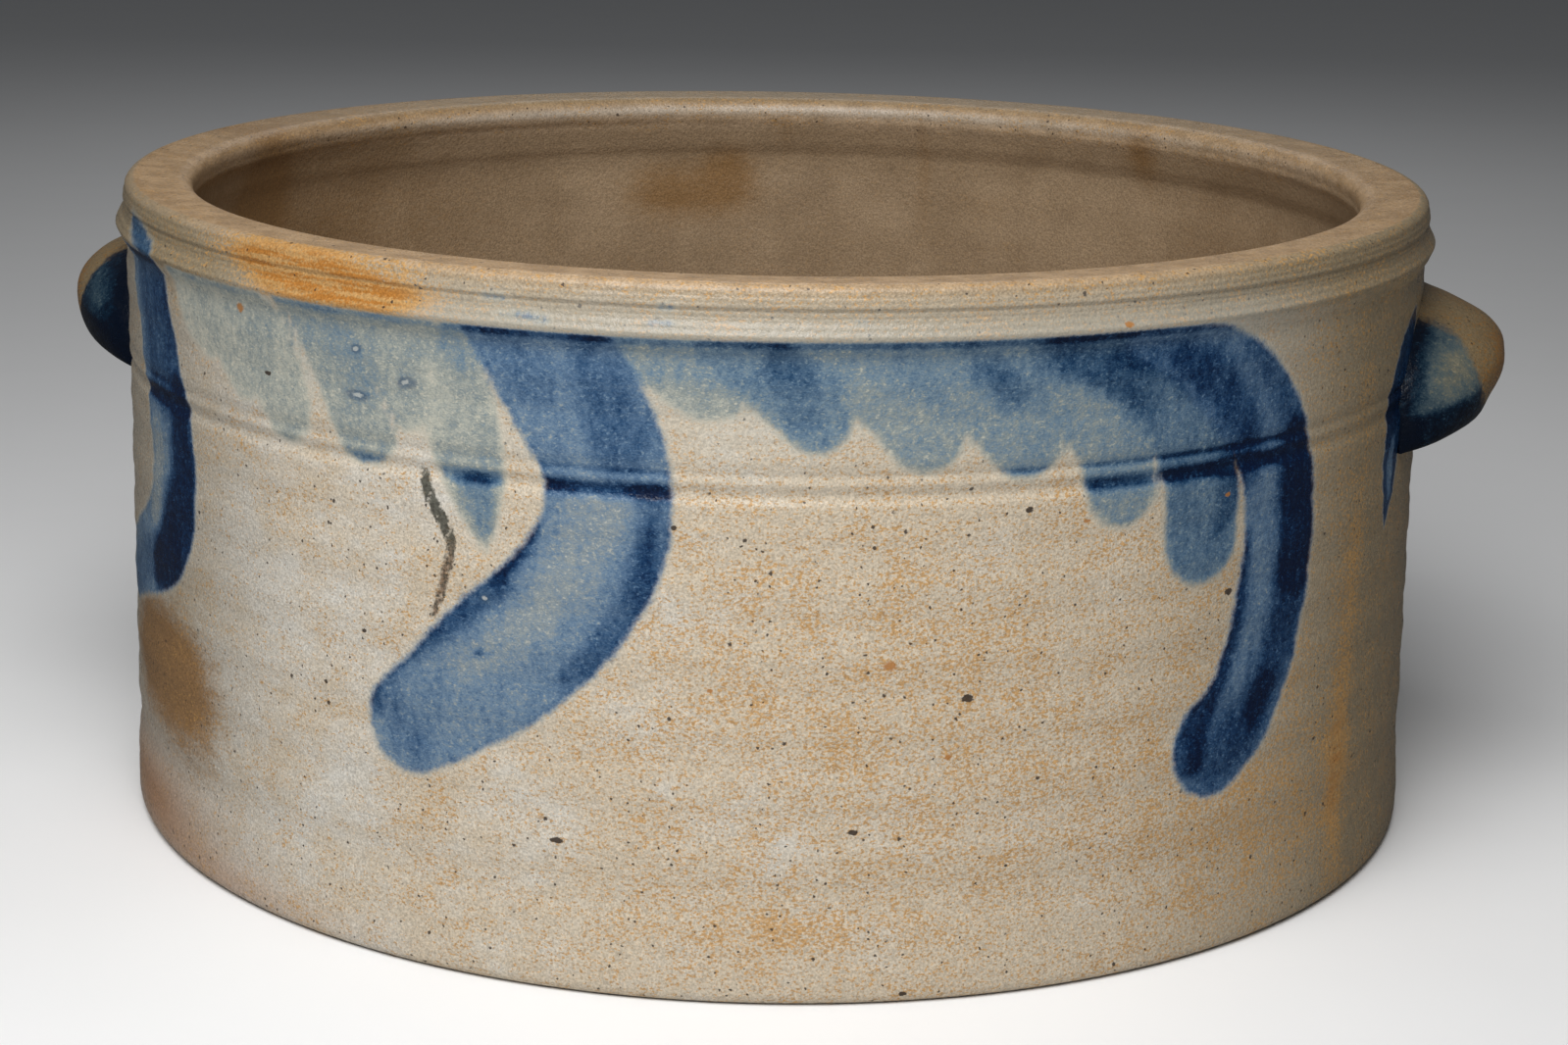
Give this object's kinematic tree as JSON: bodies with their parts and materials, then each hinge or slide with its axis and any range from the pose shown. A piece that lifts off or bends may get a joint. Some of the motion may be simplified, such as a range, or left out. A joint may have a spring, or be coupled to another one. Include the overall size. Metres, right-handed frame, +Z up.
{
  "type": "two-handled stoneware crock",
  "caption": "Wide, low, open salt-glazed stoneware crock with a thick banded rim, lug handles and brushed blue decoration.",
  "frame": {"origin": "centre of the flat base, on the surface the crock stands on", "axes": "+Z up the crock's axis, +X through the middle of the right lug, -Y towards the decorated front"},
  "size_m": [0.3728, 0.3344, 0.16],
  "materials": {
    "salt_glazed_body": "salt glaze, satin, with brushed cobalt",
    "salt_glazed_lug": "salt glaze, satin, with brushed cobalt"
  },
  "bodies": {
    "root": {"crock_body": "salt_glazed_body", "right_lug_handle": "salt_glazed_lug", "left_lug_handle": "salt_glazed_lug"}
  },
  "joints": []
}
